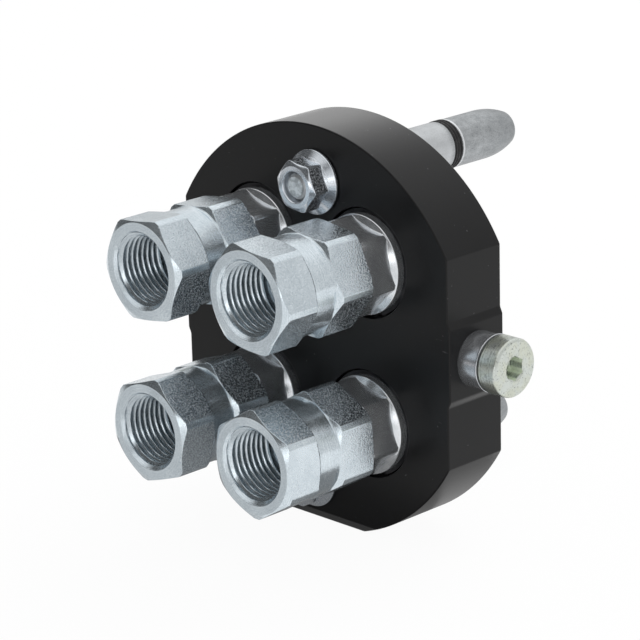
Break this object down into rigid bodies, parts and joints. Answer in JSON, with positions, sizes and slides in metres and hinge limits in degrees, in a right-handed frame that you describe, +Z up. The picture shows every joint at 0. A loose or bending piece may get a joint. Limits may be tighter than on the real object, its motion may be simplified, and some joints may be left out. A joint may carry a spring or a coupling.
{
  "type": "hydraulic multi-coupling plate",
  "caption": "Movable half of a hydraulic quick coupling plate: port adapters in front, valved noses, guide pins and side rollers.",
  "frame": {"origin": "centre of the mating face, on the axis of the plate's round edge", "axes": "+Y out of the mating face towards the other half, +Z up from the foot flat, +X along the side pins"},
  "size_m": [0.128, 0.1191, 0.1122],
  "materials": {
    "black_anodised": "satin black anodised",
    "bright_zinc": "bright zinc plating with fine turning and milling marks",
    "polished_steel": "polished zinc-plated steel",
    "dull_zinc": "mottled dull zinc",
    "passivated_zinc": "slightly yellow passivated zinc",
    "dark_steel": "ground hardened steel",
    "spring_steel": "oiled spring steel",
    "rubber": "matt black rubber"
  },
  "bodies": {
    "plate_assembly": {"plate": "black_anodised", "guide_pin_upper": "dull_zinc", "guide_pin_lower": "dull_zinc", "guide_pin_ring_upper": "rubber", "guide_pin_ring_lower": "rubber", "flange_nuts": "bright_zinc", "side_pin_left": "passivated_zinc", "side_pin_right": "passivated_zinc", "port_adapter_upper_left": "bright_zinc", "port_adapter_upper_right": "bright_zinc", "port_adapter_lower_left": "bright_zinc", "port_adapter_lower_right": "bright_zinc", "coupler_body_upper_left": "polished_steel", "coupler_body_upper_right": "polished_steel", "coupler_body_lower_left": "polished_steel", "coupler_body_lower_right": "polished_steel", "retaining_ring_upper_left": "spring_steel", "retaining_ring_upper_right": "spring_steel", "retaining_ring_lower_left": "spring_steel", "retaining_ring_lower_right": "spring_steel", "poppet_spring_upper_left": "spring_steel", "poppet_spring_upper_right": "spring_steel", "poppet_spring_lower_left": "spring_steel", "poppet_spring_lower_right": "spring_steel", "valve_guide_upper_left": "dull_zinc", "valve_guide_upper_right": "dull_zinc", "valve_guide_lower_left": "dull_zinc", "valve_guide_lower_right": "dull_zinc", "adapter_seal_upper_left": "rubber", "adapter_seal_upper_right": "rubber", "adapter_seal_lower_left": "rubber", "adapter_seal_lower_right": "rubber"},
    "valve_upper_left": {"poppet_upper_left": "polished_steel", "poppet_seal_upper_left": "rubber"},
    "valve_upper_right": {"poppet_upper_right": "polished_steel", "poppet_seal_upper_right": "rubber"},
    "valve_lower_left": {"poppet_lower_left": "polished_steel", "poppet_seal_lower_left": "rubber"},
    "valve_lower_right": {"poppet_lower_right": "polished_steel", "poppet_seal_lower_right": "rubber"},
    "roller_left": {"side_roller_left": "dark_steel"},
    "roller_right": {"side_roller_right": "dark_steel"}
  },
  "joints": [
    {"name": "valve_upper_left_slide", "type": "slide", "parent": "plate_assembly", "child": "valve_upper_left", "axis": [0, -1, 0], "range_m": [0, 0.007], "stiffness_N_per_m": 2300, "springref_m": -0.004, "deforming": ["poppet_spring_upper_left"]},
    {"name": "valve_upper_right_slide", "type": "slide", "parent": "plate_assembly", "child": "valve_upper_right", "axis": [0, -1, 0], "range_m": [0, 0.007], "stiffness_N_per_m": 2300, "springref_m": -0.004, "deforming": ["poppet_spring_upper_right"]},
    {"name": "valve_lower_left_slide", "type": "slide", "parent": "plate_assembly", "child": "valve_lower_left", "axis": [0, -1, 0], "range_m": [0, 0.007], "stiffness_N_per_m": 2300, "springref_m": -0.004, "deforming": ["poppet_spring_lower_left"]},
    {"name": "valve_lower_right_slide", "type": "slide", "parent": "plate_assembly", "child": "valve_lower_right", "axis": [0, -1, 0], "range_m": [0, 0.007], "stiffness_N_per_m": 2300, "springref_m": -0.004, "deforming": ["poppet_spring_lower_right"]},
    {"name": "roller_left_spin", "type": "hinge", "parent": "plate_assembly", "child": "roller_left", "pos_m": [-0.0538, -0.0105, 0], "axis": [-1, 0, 0], "continuous": true},
    {"name": "roller_right_spin", "type": "hinge", "parent": "plate_assembly", "child": "roller_right", "pos_m": [0.0538, -0.0105, 0], "axis": [1, 0, 0], "continuous": true}
  ]
}
